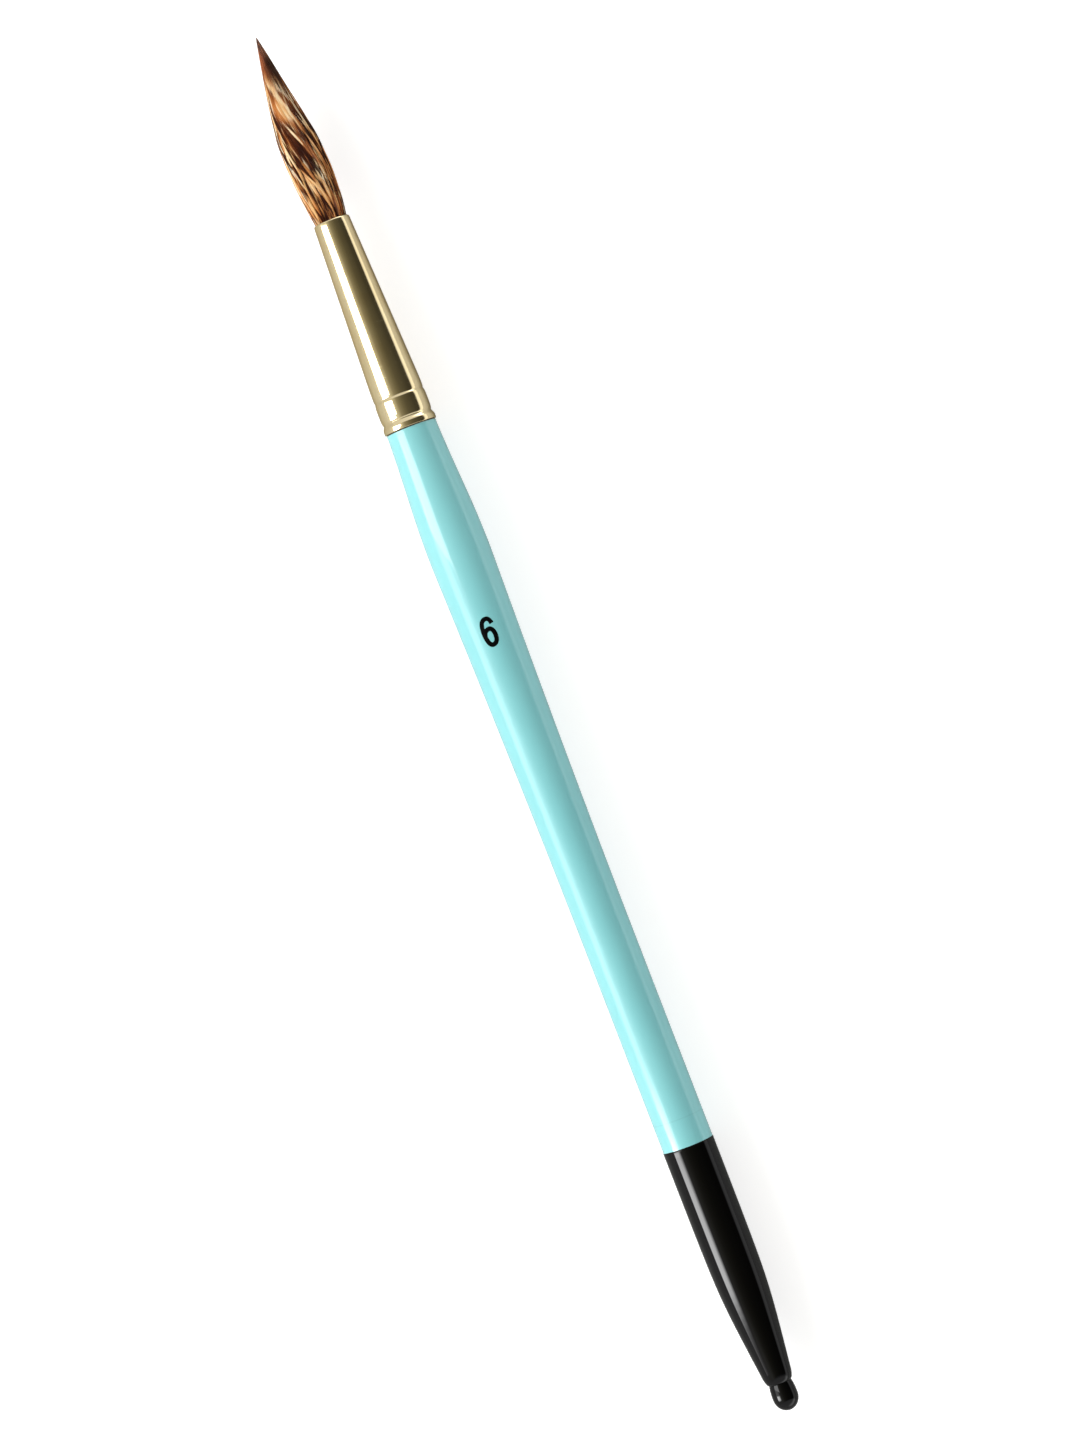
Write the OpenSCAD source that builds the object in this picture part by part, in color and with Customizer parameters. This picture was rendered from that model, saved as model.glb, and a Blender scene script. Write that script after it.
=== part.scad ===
// A round acrylic nail brush: a pointed tuft of sable hair, bound and cemented
// into a crimped brass ferrule on a turned, lacquered wooden handle whose tail
// is dipped in black.
//
// The brush lies on its side. +X runs along the axis towards the hair's point,
// +Z is up, and the origin is under the middle of its length, on the surface
// that the handle's belly touches. Each piece is drawn upright, with its
// stations measured from the tail end, and lay() puts it down.
// All sizes are in millimetres.

/* [Hair] */
// Free length of the hair, from the ferrule's mouth to the point
hair_len = 24.2; // [21:0.2:27]
// Diameter of the tuft at its belly
hair_belly_d = 5.2; // [4.9:0.02:5.4]
// How far the point drifts sideways from the axis
hair_drift = 0.48; // [0:0.02:0.7]
// Number of locks laid round the tuft
lock_count = 34; // [24:1:36]
// Swirl of the locks round the axis, from the ferrule to the point, in degrees
lock_swirl = 56; // [0:1:70]

/* [Ferrule] */
// Length of the brass tube
ferrule_len = 27; // [24:0.5:30]
// Outside diameter at the mouth, where the hair leaves
mouth_d = 4.58; // [4.4:0.02:4.8]
// Outside diameter ahead of the crimps
crimp_d = 6.38; // [6.2:0.02:6.5]
// Wall of the tube
ferrule_wall = 0.25; // [0.2:0.01:0.3]
// Depth of the two crimped grooves
crimp_depth = 0.08; // [0.04:0.01:0.12]

/* [Handle] */
// Length of the handle behind the ferrule
handle_len = 128.8; // [120:0.2:140]
// Diameter where the handle meets the ferrule
neck_d = 6.34; // [6.3:0.02:6.4]
// Diameter of the belly, the thickest part
belly_d = 7.66; // [7.2:0.02:8]
// Diameter of the straight barrel behind the belly
barrel_d = 6.44; // [6.2:0.02:6.6]
// Length of the black dipped tail
dip_len = 34.8; // [30:0.2:40]
// Thickness of the aqua lacquer on the wood
lacquer_t = 0.1; // [0.08:0.01:0.14]
// Thickness of the black dip over the lacquer
dip_t = 0.04; // [0.03:0.01:0.08]

/* [Hidden] */
$fn = 96;

// Stations along the axis, from the tail end
mouth_z = handle_len + ferrule_len;
overall_len = mouth_z + hair_len;
belly_z = handle_len - 16.8;
swell_z = belly_z - 52;

// Tail bead, and the shoulder that it hangs from
bead_r = 1.56;
bead_z = 1.75;
bead_neck_r = 1.38;
bead_neck_z = 3.56;
shoulder_r = 1.83;
shoulder_z = 4.6;

// Ferrule, with lengths from its rear edge: the flared rim up to the first
// groove, the barrelled band up to the second, then the cone
rim_len = 1.2;
rim_h = 0.16;
band_len = 2.8;
band_h = 0.05;
cone_start = 5.3;
lip_r = 0.2;

// Hair root inside the ferrule, with the waist that the thread pulls in
root_len = 12;
root_r = mouth_d / 2 - ferrule_wall - 0.02;
waist_r = 1.75;
waist_len = 1.9;
waist_slope = 0.6;
waist_z = mouth_z - 8.9;

// Packed inner hairs, and the outer locks that lie on them
core_sides = 24;
core_fill = 0.84;
core_gap = 0.045;
lock_gap = 0.04;
lock_wander = 140;

// Binding thread
thread_d = 0.28;
thread_turns = 5;
thread_play = 0.05;

// Root cement
cement_len = 7.4;
cement_z = mouth_z - root_len - 1.2;

// Tenon of the handle inside the ferrule
tenon_len = 12.5;
tenon_chamfer = 0.6;
glue_t = 0.06;

// ---------------------------------------------------------------- curves

function mix(a, b, t) = a + (b - a) * t;

// An S-shaped rise from 0 to 1
function ease(t) = let (c = min(max(t, 0), 1)) c * c * (3 - 2 * c);

// A repeatable number from 0 to 1 for each lock
function scatter(i, seed) = let (v = sin(i * 137.5 + seed * 71.3) * 43.7) v - floor(v);

function reversed(list) = [for (i = [len(list) - 1:-1:0]) list[i]];

// An outline moved outwards by grow
function grown(outline, grow) = [for (q = outline) [q.x + grow, q.y]];

// A cubic Bezier curve through [radius, station] points, without its first point
function curve(p, steps) = [
    for (i = [1:steps])
        let (t = i / steps, u = 1 - t)
        u * u * u * p[0] + 3 * u * u * t * p[1] + 3 * u * t * t * p[2] + t * t * t * p[3]
];

// ---------------------------------------------------------------- outlines, as [radius, station]

// The bead and the taper of the tail, thickened by grow
function tail_outline(grow) =
    let (barrel_r = barrel_d / 2, end_z = dip_t - grow)
    concat(
        [for (a = [0:10:90])
            [(bead_r + grow) * sin(a), bead_z - (bead_z - end_z) * cos(a)]],
        grown(concat(
            curve([[bead_r, bead_z], [bead_r, 2.5],
                   [bead_r - 0.05, 3.1], [bead_neck_r, bead_neck_z]], 6),
            curve([[bead_neck_r, bead_neck_z], [bead_neck_r + 0.2, 3.65],
                   [shoulder_r - 0.12, 4], [shoulder_r, shoulder_z]], 5),
            curve([[shoulder_r, shoulder_z], [shoulder_r + 1.47, shoulder_z + 12.4],
                   [barrel_r - 0.04, dip_len - 20], [barrel_r, dip_len]], 20)
        ), grow)
    );

// The handle from its straight barrel, over the belly, to the ferrule
function swell_outline(grow) =
    let (barrel_r = barrel_d / 2, belly_r = belly_d / 2, neck_r = neck_d / 2)
    grown(concat(
        [[barrel_r, swell_z]],
        curve([[barrel_r, swell_z], [barrel_r, swell_z + 26.3],
               [belly_r, belly_z - 1.2], [belly_r, belly_z]], 24),
        curve([[belly_r, belly_z], [belly_r, belly_z + 6.7],
               [neck_r + 0.19, belly_z + 9.3], [neck_r, handle_len]], 16)
    ), grow);

function handle_outline(grow) = concat(tail_outline(grow), swell_outline(grow));

// Outside radius of the ferrule's cone at a length from its rear edge
function cone_r(z) = mix(crimp_d / 2, mouth_d / 2, (z - cone_start) / (ferrule_len - cone_start));

// Outside of the ferrule, with lengths from its rear edge, thickened by grow
function ferrule_outline(grow) =
    let (
        crimp_r = crimp_d / 2,
        groove_r = crimp_r - crimp_depth,
        rim_r = crimp_r + rim_h,
        band_r = crimp_r + band_h,
        band_end = rim_len + band_len
    )
    grown(concat(
        [[rim_r - 0.04, 0], [rim_r, 0.1], [rim_r, 0.45]],
        curve([[rim_r, 0.45], [rim_r, 0.85],
               [groove_r, 0.9], [groove_r, rim_len]], 6),
        curve([[groove_r, rim_len], [band_r, rim_len + 0.2],
               [band_r, rim_len + 0.7], [band_r, rim_len + band_len / 2]], 7),
        curve([[band_r, rim_len + band_len / 2], [band_r, band_end - 0.6],
               [band_r, band_end - 0.2], [groove_r, band_end]], 7),
        curve([[groove_r, band_end], [groove_r + 0.1, band_end + 0.2],
               [crimp_r, band_end + 0.4], [crimp_r, cone_start]], 6),
        [[cone_r(ferrule_len - lip_r), ferrule_len - lip_r]]
    ), grow);

// The tuft from its butt to its point, with heights from the ferrule's mouth
tuft_outline =
    let (
        waist_h = waist_z - mouth_z,
        shoulder = hair_belly_d * 0.459,
        shoulder_h = hair_len * 0.475
    )
    concat(
        [
            [root_r, -root_len], [root_r, waist_h - waist_slope], [waist_r, waist_h],
            [waist_r, waist_h + waist_len], [root_r, waist_h + waist_len + waist_slope],
            [root_r, 0]
        ],
        curve([[root_r, 0], [hair_belly_d * 0.573, hair_len * 0.227],
               [hair_belly_d * 0.477, hair_len * 0.455], [shoulder, shoulder_h]], 9),
        curve([[shoulder, shoulder_h], [hair_belly_d * 0.449, hair_len * 0.496],
               [hair_belly_d * 0.107, hair_len * 0.927], [0.05, hair_len]], 10)
    );

// ---------------------------------------------------------------- shapes

// Lays a piece that is drawn upright from the tail end down on its belly
module lay() {
    translate([-overall_len / 2, 0, belly_d / 2]) rotate([0, 90, 0]) children();
}

// A solid turned from an outline of [radius, station] points
module turned(outline) {
    rotate_extrude() polygon(outline);
}

// A closed skin lofted through rings that all have the same number of points
module loft(rings) {
    sides = len(rings[0]);
    last = len(rings) - 1;
    polyhedron(
        points = [for (ring = rings) each ring],
        faces = concat(
            [[for (k = [0:sides - 1]) k]],
            [for (j = [0:last - 1], k = [0:sides - 1])
                let (a = j * sides + k, b = j * sides + (k + 1) % sides)
                each [[a, a + sides, b + sides], [a, b + sides, b]]],
            [[for (k = [sides - 1:-1:0]) last * sides + k]]
        ),
        convexity = 6
    );
}

// ---------------------------------------------------------------- hair

// Sideways drift of the tuft's centre line at a height above the mouth
function drift(h) = hair_drift * ease(h / (hair_len * 0.75));

// Share of the tuft's radius that the packed inner hairs fill
function core_share(h) = mix(core_fill, 1, ease((h / hair_len - 0.55) / 0.45));

// A point of the tuft: a radius and an angle round its drifting centre line
function tuft_point(r, angle, h) = [r * cos(angle), drift(h) + r * sin(angle), mouth_z + h];

// The inner hairs, packed solid from the butt to the point
module hair_core() {
    color("#6b3f1d") lay() loft([
        for (q = tuft_outline)
            [for (k = [0:core_sides - 1])
                tuft_point(q.x * core_share(q.y), -k * 360 / core_sides, q.y)]
    ]);
}

// Where one lock parts from the next: the swirl they share, and a wander of its own
function parting(i, h) =
    let (rise = max(h / hair_len, 0), own = i % lock_count)
    i * 360 / lock_count - lock_swirl * ease(rise * 1.2)
    + lock_wander / lock_count * ease(rise * 6)
        * sin(rise * mix(260, 620, scatter(own, 3)) + 360 * scatter(own, 4));

// One ring of a lock: a rounded sector that stands on the core, narrowed by taper
function lock_ring(i, q, height, taper) =
    let (
        low = parting(i, q.y) + lock_gap * 360 / lock_count,
        high = parting(i + 1, q.y) - lock_gap * 360 / lock_count,
        middle = (low + high) / 2,
        half = taper * (high - low) / 2,
        foot = q.x * core_share(q.y) + core_gap,
        crest = mix(foot, max(q.x, foot + 0.04), height),
        side = mix(foot, crest, 0.7)
    )
    [for (p = [[foot, -1], [side, -1], [crest, -0.45], [crest, 0.45], [side, 1], [foot, 1]])
        tuft_point(p.x, middle + half * p.y, q.y)];

// The outer hairs, gathered in locks side by side; each ends short of the point
module hair_locks() {
    tones = ["#a8672f", "#5a3015", "#d9a867", "#7d461f"];
    for (i = [0:lock_count - 1]) {
        last = len(tuft_outline) - 5 + floor(scatter(i, 1) * 2.99);
        fullness = mix(0.84, 1, scatter(i, 2));
        color(tones[i % len(tones)]) lay() loft([
            for (j = [0:last])
                let (q = tuft_outline[j], from_end = last - j)
                lock_ring(i, q, q.y > 0 ? fullness : 1, min(1, 0.16 + from_end * 0.34))
        ]);
    }
}

// Waxed thread wound round the waist of the root
module binding_thread() {
    steps = 24;
    sides = 6;
    wind_r = waist_r + thread_d / 2 + thread_play;
    pitch = thread_d + 0.02;
    start_z = waist_z + (waist_len - thread_turns * pitch) / 2;
    color("#d8cfbd") lay() loft([
        for (i = [0:thread_turns * steps])
            let (a = i * 360 / steps, z = start_z + i * pitch / steps)
            [for (k = [0:sides - 1])
                let (b = k * 360 / sides, r = wind_r + thread_d / 2 * cos(b))
                [r * cos(a), r * sin(a), z + thread_d / 2 * sin(b)]]
    ]);
}

// ---------------------------------------------------------------- ferrule

// Inside radius of the ferrule's cone at a station
function bore_r(z) = cone_r(z - handle_len) - ferrule_wall;

// Epoxy poured round the butt of the hair and over the thread
module root_cement() {
    butt_z = mouth_z - root_len;
    top_z = cement_z + cement_len;
    seat_r = root_r + 0.01;
    pocket_r = waist_r + thread_d + thread_play + 0.06;
    pocket_z = waist_z - 0.1;
    pocket_end = waist_z + waist_len + 0.1;
    color("#c8b98a") lay() turned([
        [0, cement_z], [bore_r(cement_z), cement_z], [bore_r(top_z), top_z], [seat_r, top_z],
        [seat_r, pocket_end], [pocket_r, pocket_end], [pocket_r, pocket_z], [seat_r, pocket_z],
        [seat_r, butt_z], [0, butt_z]
    ]);
}

// Seamless brass tube, drawn to a cone, with a rounded lip and two crimps
module ferrule() {
    mouth_r = mouth_d / 2;
    lip = [for (a = [15:15:90])
        [mouth_r - lip_r * (1 - cos(a)), ferrule_len - lip_r * (1 - sin(a))]];
    color("#c9b27c") lay() translate([0, 0, handle_len]) turned(concat(
        ferrule_outline(0), lip, [[mouth_r - ferrule_wall, ferrule_len]],
        reversed(ferrule_outline(-ferrule_wall))
    ));
}

// ---------------------------------------------------------------- handle

// The ferrule's inside up to a length, less a gap, as stations of the handle
function inside_ferrule(gap, length) = concat(
    [for (q = ferrule_outline(-ferrule_wall - gap)) if (q.y < length) [q.x, handle_len + q.y]],
    [[cone_r(length) - ferrule_wall - gap, handle_len + length]]
);

// Film of glue between the tenon and the ferrule
module tenon_glue() {
    film_len = tenon_len - tenon_chamfer;
    color("#e6dcae") lay() turned(concat(
        inside_ferrule(0, film_len), reversed(inside_ferrule(glue_t, film_len))
    ));
}

// Turned wooden handle with its tenon
module handle_core() {
    tenon_r = cone_r(tenon_len) - ferrule_wall - glue_t;
    color("#d9b98a") lay() turned(concat(
        handle_outline(-lacquer_t),
        inside_ferrule(glue_t, tenon_len - tenon_chamfer),
        [[tenon_r - tenon_chamfer, handle_len + tenon_len], [0, handle_len + tenon_len]]
    ));
}

// Aqua lacquer over the whole handle, up to the ferrule's edge
module aqua_lacquer() {
    color("#8fdfe0") lay() turned(concat(
        handle_outline(0), reversed(handle_outline(-lacquer_t))
    ));
}

// Black lacquer that the tail is dipped in, hanging in a bead at the end
module black_dip() {
    barrel_r = barrel_d / 2;
    edge = [[barrel_r + dip_t, dip_len - 0.2], [barrel_r + dip_t * 0.8, dip_len - 0.06]];
    skin = [for (q = tail_outline(dip_t)) if (q.y < dip_len - 0.3) q];
    color("#0a0a0b") lay() turned(concat(skin, edge, reversed(tail_outline(0))));
}

hair_core();
hair_locks();
binding_thread();
root_cement();
ferrule();
tenon_glue();
handle_core();
aqua_lacquer();
black_dip();
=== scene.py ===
import math

import bpy
import numpy as np
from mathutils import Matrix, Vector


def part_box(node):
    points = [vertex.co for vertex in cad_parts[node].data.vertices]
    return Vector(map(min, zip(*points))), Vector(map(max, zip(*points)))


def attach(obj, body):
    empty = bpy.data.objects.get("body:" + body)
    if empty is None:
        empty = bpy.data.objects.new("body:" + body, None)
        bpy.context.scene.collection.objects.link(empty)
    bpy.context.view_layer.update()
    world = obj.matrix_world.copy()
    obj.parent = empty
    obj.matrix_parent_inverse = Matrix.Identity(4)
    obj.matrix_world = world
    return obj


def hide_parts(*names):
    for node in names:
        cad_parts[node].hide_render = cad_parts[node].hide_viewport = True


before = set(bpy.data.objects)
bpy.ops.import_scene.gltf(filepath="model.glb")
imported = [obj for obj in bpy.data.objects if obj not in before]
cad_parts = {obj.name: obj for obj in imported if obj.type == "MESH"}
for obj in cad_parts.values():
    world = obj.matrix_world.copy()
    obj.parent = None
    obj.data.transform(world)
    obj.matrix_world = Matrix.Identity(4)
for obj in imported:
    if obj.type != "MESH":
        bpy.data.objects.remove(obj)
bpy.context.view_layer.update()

# ---------------------------------------------------------------- wooden handle
# Turned from a straight-grained hardwood dowel, with a tenon at the front that
# the ferrule is crimped on. The coats and the ferrule cover all of it.

MM = 0.001
TAIL_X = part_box("black_dip")[0].x
AXIS_Z = (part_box("ferrule")[0].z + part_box("ferrule")[1].z) / 2


def add_node(tree, kind, inputs=(), **settings):
    """A new shader node; each input is a constant or another node's output."""
    node = tree.nodes.new("ShaderNode" + kind)
    for name, value in settings.items():
        setattr(node, name, value)
    for key, value in dict(inputs).items():
        if isinstance(value, bpy.types.NodeSocket):
            tree.links.new(value, node.inputs[key])
        else:
            node.inputs[key].default_value = value
    return node


def math_node(tree, operation, *values):
    """The output of a Math node on constants or sockets."""
    node = add_node(tree, "Math", enumerate(values), operation=operation)
    return node.outputs[0]


def between(tree, value, low, high):
    """A value of 0 to 1 spread from low to high."""
    return math_node(tree, "MULTIPLY_ADD", value, high - low, low)


def ramp(tree, value, *stops):
    """A value turned into colour through (position, colour) stops."""
    node = add_node(tree, "ValToRGB", {"Fac": value})
    elements = node.color_ramp.elements
    while len(elements) < len(stops):
        elements.new(0.5)
    for element, (position, colour) in zip(elements, stops):
        element.position = position
        element.color = (*colour, 1)
    return node.outputs["Color"]


def finish(name, **constants):
    """A material, its node tree and its Principled BSDF, with constants on its sockets."""
    material = bpy.data.materials.new(name)
    material.use_nodes = True
    tree = material.node_tree
    shader = tree.nodes["Principled BSDF"]
    for socket, value in constants.items():
        shader.inputs[socket.replace("_", " ")].default_value = value
    return material, tree, shader


def drive(tree, shader, **outputs):
    """Links sockets of the surface to outputs of other nodes."""
    for socket, output in outputs.items():
        tree.links.new(output, shader.inputs[socket.replace("_", " ")])


def add_bump(tree, height, distance):
    """A normal raised by a height of 0 to 1 times distance, in metres."""
    bump = add_node(tree, "Bump", {"Height": height, "Distance": distance, "Strength": 1.0})
    return bump.outputs["Normal"]


def effect_group(name, inputs, outputs):
    """An empty node group with float inputs (name, value) and float outputs."""
    group = bpy.data.node_groups.new(name, "ShaderNodeTree")
    for label, value in inputs:
        socket = group.interface.new_socket(
            label, in_out="INPUT", socket_type="NodeSocketFloat"
        )
        socket.default_value = value
    for label in outputs:
        group.interface.new_socket(
            label, in_out="OUTPUT", socket_type="NodeSocketFloat"
        )
    return group, group.nodes.new("NodeGroupInput"), group.nodes.new("NodeGroupOutput")


# Fibres that run along the brush: wood grain, and the hairs seen as a mass
fibre_group, given, made = effect_group(
    "fibres", [("Along", 60.0), ("Across", 1500.0), ("Detail", 4.0)], ["Streak", "Fine"]
)
place = add_node(fibre_group, "TexCoord").outputs["Object"]
stretch = add_node(
    fibre_group,
    "CombineXYZ",
    {"X": given.outputs["Along"], "Y": given.outputs["Across"], "Z": given.outputs["Across"]},
)
stretched = add_node(
    fibre_group, "VectorMath", {0: place, 1: stretch.outputs[0]}, operation="MULTIPLY"
).outputs[0]
broad = add_node(
    fibre_group,
    "TexNoise",
    {"Vector": stretched, "Scale": 1.0, "Detail": given.outputs["Detail"], "Roughness": 0.6},
)
fine = add_node(
    fibre_group, "TexNoise", {"Vector": stretched, "Scale": 3.7, "Detail": 2.0}
)
fibre_group.links.new(broad.outputs["Fac"], made.inputs["Streak"])
fibre_group.links.new(fine.outputs["Fac"], made.inputs["Fine"])


def add_fibres(tree, along, across, detail=4.0):
    """The fibre effect's outputs in a material: a broad Streak and a Fine one, 0 to 1."""
    node = add_node(tree, "Group", node_tree=fibre_group)
    for label, value in (("Along", along), ("Across", across), ("Detail", detail)):
        node.inputs[label].default_value = value
    return node.outputs


wood, tree, shader = finish("turned_wood")
grain = add_fibres(tree, along=70, across=1100)
drive(
    tree, shader,
    Base_Color=ramp(
        tree, grain["Streak"],
        (0.3, (0.42, 0.27, 0.13)), (0.5, (0.62, 0.44, 0.25)), (0.72, (0.71, 0.55, 0.35)),
    ),
    Roughness=between(tree, grain["Fine"], 0.45, 0.65),
    Normal=add_bump(tree, grain["Fine"], 0.04 * MM),
)
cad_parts["handle_core"].data.materials[0] = wood

# ---------------------------------------------------------------- aqua lacquer
# A thick, hard gloss lacquer over the whole handle, sprayed and rubbed between
# coats. It ends in a soft roll where it meets the ferrule.

SIDES = 144
SHARP = math.radians(32)
END_ON = 0.02  # a face whose normal leans less than this off or to the axis is an end
ON_AXIS = 0.001 * MM
AQUA = (0.24, 0.61, 0.63)
AQUA_DEEP = (0.22, 0.582, 0.606)
# Painted shade in the gap along the ferrule's edge, where the coat meets it, and how wide it lies
SEAM_SHADE_WIDTH = 0.2 * MM
SEAM_SHADE_COLOUR = (0.03, 0.02, 0.012, 1)
# A faint line round the coat: how far ahead of the dip, its half width, and its
# share of the painted seam shade's colour
RING_AT, RING_HALF, RING_TINT = 3.5 * MM, 0.08 * MM, 0.06
# The roll behind the coat's front edge, and the edge itself, drawn in
ROLL_BACK, ROLL_HALF, ROLL_RISE = 0.34 * MM, 0.3 * MM, 0.018 * MM
EDGE_HALF, EDGE_DROP = 0.13 * MM, 0.08 * MM


def turned_outline(node, facing):
    """Stations and radii of a turned piece's outer (1) or inner (-1) wall."""
    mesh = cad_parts[node].data
    widest = {}
    for face in mesh.polygons:
        y, z = face.center.y, face.center.z - AXIS_Z
        lean = (face.normal.y * y + face.normal.z * z) / math.hypot(y, z)
        if lean * facing < END_ON:
            continue
        for index in face.vertices:
            co = mesh.vertices[index].co
            station = round(co.x, 6)
            radius = math.hypot(co.y, co.z - AXIS_Z)
            widest[station] = max(widest.get(station, 0), radius)
    return sorted(widest.items())


def turning(before, here, after):
    """The angle by which an outline turns at a point."""
    first = math.atan2(here[1] - before[1], here[0] - before[0])
    second = math.atan2(after[1] - here[1], after[0] - here[0])
    return abs(second - first)


def eased_outline(outline, longest):
    """The outline with rounder runs between its sharp corners, in steps up to longest."""
    last = len(outline) - 1
    corner = [
        i in (0, last) or turning(outline[i - 1], outline[i], outline[i + 1]) > SHARP
        for i in range(last + 1)
    ]
    eased = [outline[0]]
    for i in range(last):
        a, b = np.array(outline[i]), np.array(outline[i + 1])
        span = np.linalg.norm(b - a)
        before = np.array(outline[i - 1]) if not corner[i] else a * 2 - b
        after = np.array(outline[i + 2]) if not corner[i + 1] else b * 2 - a
        pull_a = (b - before) / np.linalg.norm(b - before) * span
        pull_b = (after - a) / np.linalg.norm(after - a) * span
        steps = max(1, math.ceil(span / longest))
        for k in range(1, steps + 1):
            t = k / steps
            point = (
                (2 * t**3 - 3 * t**2 + 1) * a + (t**3 - 2 * t**2 + t) * pull_a
                + (3 * t**2 - 2 * t**3) * b + (t**3 - t**2) * pull_b
            )
            eased.append((float(point[0]), max(float(point[1]), 0.0)))
    return eased


def turn(name, skin, bore):
    """A hollow piece turned about the brush's axis, from its outer and inner walls."""
    angles = np.arange(SIDES) * 2 * math.pi / SIDES
    vertices, rows = [], []
    for x, radius in skin + bore[::-1]:
        if radius < ON_AXIS:
            rows.append([len(vertices)] * SIDES)
            vertices.append((x, 0, AXIS_Z))
            continue
        rows.append(list(range(len(vertices), len(vertices) + SIDES)))
        vertices.extend(
            (x, radius * math.sin(a), AXIS_Z + radius * math.cos(a)) for a in angles
        )
    faces = []
    for low, high in zip(rows, rows[1:] + rows[:1]):
        for k in range(SIDES):
            n = (k + 1) % SIDES
            corners = dict.fromkeys((low[k], high[k], high[n], low[n]))
            if len(corners) > 2:
                faces.append(tuple(corners))
    return add_piece(name, vertices, faces)


def add_piece(name, vertices, faces):
    """A smooth-shaded mesh object in the brush's own frame, riding on its body."""
    mesh = bpy.data.meshes.new(name)
    mesh.from_pydata(vertices, [], faces)
    mesh.validate()
    mesh.shade_smooth()
    mesh.set_sharp_from_angle(angle=SHARP)
    piece = bpy.data.objects.new(name, mesh)
    bpy.context.scene.collection.objects.link(piece)
    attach(piece, "root")
    return piece


def touched_up(outline, details):
    """The outline with raised or sunk rings: (station, half width, height)."""
    stations = sorted(
        {x for x, _ in outline}
        | {c + w * s for c, w, _ in details for s in (-1, -0.5, 0, 0.5, 1)}
    )
    xs, rs = zip(*outline)
    ringed = []
    for x in stations:
        radius = float(np.interp(x, xs, rs))
        for centre, width, height in details:
            across = abs(x - centre) / width
            if across < 1:
                radius += height * math.cos(across * math.pi / 2) ** 2
        ringed.append((x, radius))
    return ringed


def fade(tree, value, start, end):
    """A smooth step from 0 at start to 1 at end."""
    node = add_node(
        tree, "MapRange", {"Value": value, "From Min": start, "From Max": end},
        interpolation_type="SMOOTHSTEP",
    )
    return node.outputs[0]


def colour_mix(tree, blend, factor, a, b):
    """Two colours mixed or combined."""
    node = add_node(tree, "Mix", data_type="RGBA", blend_type=blend)
    for index, value in ((0, factor), (6, a), (7, b)):
        if isinstance(value, bpy.types.NodeSocket):
            tree.links.new(value, node.inputs[index])
        else:
            node.inputs[index].default_value = value
    return node.outputs[2]


# Marks of handling on a glossy coat: faint smudges, hairline scratches, and the
# slow unevenness of the coat itself
marks_group, given, made = effect_group(
    "handling_marks", [("Smudges", 180.0)], ["Smudge", "Scratch", "Flow"]
)
place = add_node(marks_group, "TexCoord").outputs["Object"]
smudge = add_node(
    marks_group, "TexNoise",
    {"Vector": place, "Scale": given.outputs["Smudges"], "Detail": 5.0, "Roughness": 0.62},
)
flow = add_node(marks_group, "TexNoise", {"Vector": place, "Scale": 42.0, "Detail": 1.5})
crossed = add_node(
    marks_group, "Mapping",
    {"Vector": place, "Rotation": (0.4, 0.5, 0.3), "Scale": (1, 0.06, 0.4)},
)
hairline = add_node(
    marks_group, "TexNoise",
    {"Vector": crossed.outputs[0], "Scale": 2600.0, "Detail": 1.0},
)
rare = fade(marks_group, hairline.outputs["Fac"], 0.70, 0.78)
marks_group.links.new(smudge.outputs["Fac"], made.inputs["Smudge"])
marks_group.links.new(rare, made.inputs["Scratch"])
marks_group.links.new(flow.outputs["Fac"], made.inputs["Flow"])


def add_marks(tree, smudges=180.0):
    """The marks' outputs in a material, Smudge, Scratch and Flow, by the smudges' scale."""
    node = add_node(tree, "Group", node_tree=marks_group)
    node.inputs["Smudges"].default_value = smudges
    return node.outputs


lacquer, tree, shader = finish(
    "aqua_lacquer", Specular_IOR_Level=0.25,
    Coat_Weight=1.0, Coat_Roughness=0.045, Coat_IOR=1.5,
)
marks = add_marks(tree)
dip_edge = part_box("black_dip")[1].x
coat_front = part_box("aqua_lacquer")[1].x
place = add_node(tree, "TexCoord").outputs["Object"]
station = add_node(tree, "SeparateXYZ", {0: place}).outputs["X"]
# painted shade: the coat darkens in a thin band behind its front edge, as the shade in the gap
# under the ferrule
seam_shade = fade(tree, station, coat_front - SEAM_SHADE_WIDTH, coat_front - SEAM_SHADE_WIDTH / 2)
ring = math_node(tree, "COMPARE", station, dip_edge + RING_AT, RING_HALF)
ring_and_seam_shade = math_node(tree, "MULTIPLY_ADD", ring, RING_TINT, seam_shade)
body = ramp(tree, marks["Flow"], (0.35, AQUA_DEEP), (0.65, AQUA))
drive(
    tree, shader,
    Base_Color=colour_mix(tree, "MIX", ring_and_seam_shade, body, SEAM_SHADE_COLOUR),
    Roughness=between(tree, marks["Smudge"], 0.34, 0.46),
    Normal=add_bump(tree, marks["Flow"], 0.02 * MM),
)

aqua_skin = touched_up(
    eased_outline(turned_outline("aqua_lacquer", 1), longest=1.5 * MM),
    [
        (coat_front - ROLL_BACK, ROLL_HALF, ROLL_RISE),
        (coat_front, EDGE_HALF, -EDGE_DROP),
    ],
)
aqua = turn("aqua_coat", aqua_skin, turned_outline("aqua_lacquer", -1))
aqua.data.materials.append(lacquer)
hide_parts("aqua_lacquer")

# ---------------------------------------------------------------- black dip
# The tail is dipped in black lacquer. The dip leaves a fine raised edge at its
# front, and the last of it hangs as a bead below a pinched neck.

JET = (0.0004, 0.0004, 0.0005)
JET_PALE = (0.0008, 0.0008, 0.0009)
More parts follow.
